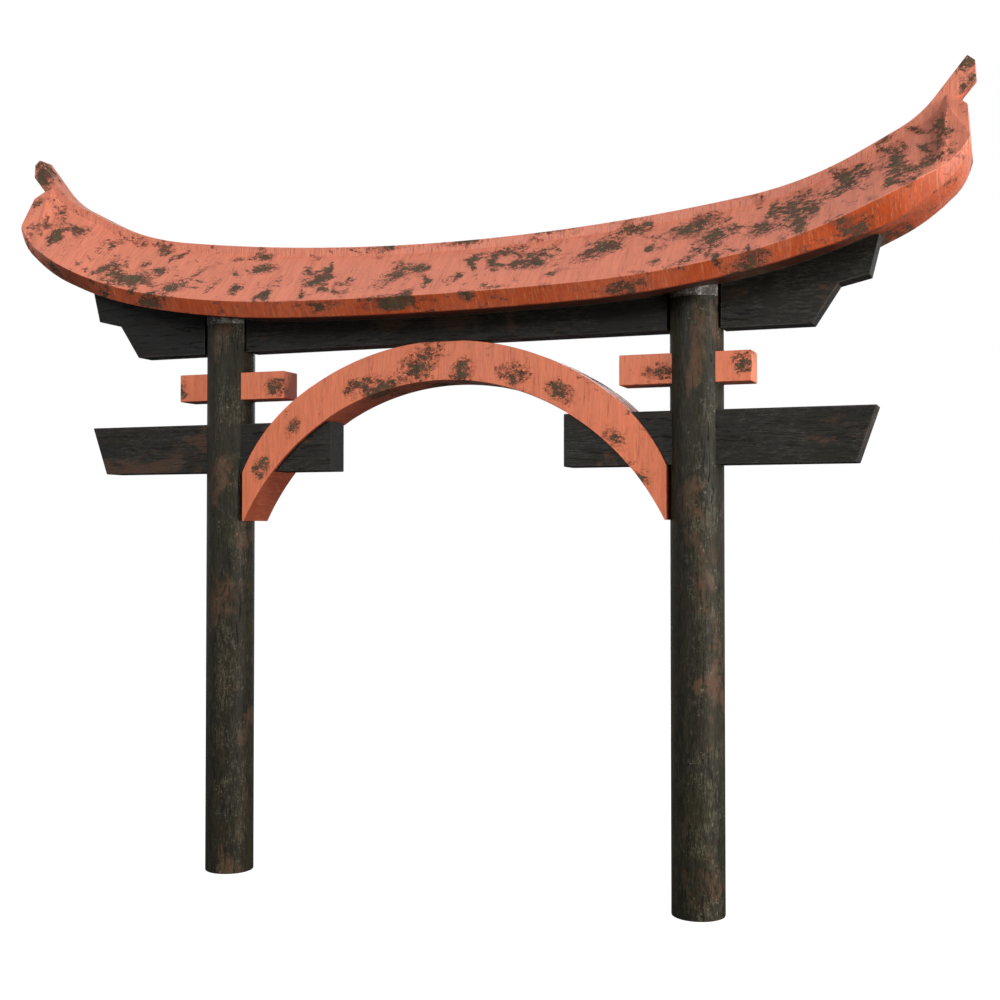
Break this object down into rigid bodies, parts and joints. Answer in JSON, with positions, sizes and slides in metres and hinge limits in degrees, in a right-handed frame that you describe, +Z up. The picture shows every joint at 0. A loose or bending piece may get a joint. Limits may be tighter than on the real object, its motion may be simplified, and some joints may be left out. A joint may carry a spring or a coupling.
{
  "type": "torii gate",
  "caption": "Timber torii gate: two round posts, stepped upper beam, planked roof with upswept ends, tie beams, short bars and an arch between the posts.",
  "frame": {"origin": "centre of the left post's foot, on the ground", "axes": "+X along the roof towards the right post, +Y to the back, +Z up"},
  "size_m": [5.9818, 0.8196, 4.6134],
  "materials": {
    "dark_post": "weathered dark stain",
    "dark_beam": "weathered dark stain",
    "collar": "worn grey metal band",
    "roof_paint": "peeling vermilion paint over grey timber",
    "red_paint": "peeling vermilion paint over grey timber",
    "bare_timber": "sawn"
  },
  "bodies": {
    "root": {"arch_crown": "red_paint", "arch_left": "red_paint", "arch_right": "red_paint", "back_eave_centre": "roof_paint", "back_eave_left": "roof_paint", "back_eave_right": "roof_paint", "back_slope_centre": "roof_paint", "back_slope_left": "roof_paint", "back_slope_right": "roof_paint", "front_eave_centre": "roof_paint", "front_eave_left": "roof_paint", "front_eave_right": "roof_paint", "front_slope_centre": "roof_paint", "front_slope_left": "roof_paint", "front_slope_right": "roof_paint", "left_collar": "collar", "left_gable_board": "roof_paint", "left_post": "dark_post", "left_short_bar": "red_paint", "left_tie_beam": "dark_beam", "ridge_centre": "roof_paint", "ridge_left": "roof_paint", "ridge_right": "roof_paint", "right_collar": "collar", "right_gable_board": "roof_paint", "right_post": "dark_post", "right_short_bar": "red_paint", "right_tie_beam": "dark_beam", "roof_beam_centre": "bare_timber", "roof_beam_left": "bare_timber", "roof_beam_right": "bare_timber", "soffit_centre": "roof_paint", "soffit_left": "roof_paint", "soffit_right": "roof_paint", "upper_beam_centre": "dark_beam", "upper_beam_left": "dark_beam", "upper_beam_right": "dark_beam"}
  },
  "joints": []
}
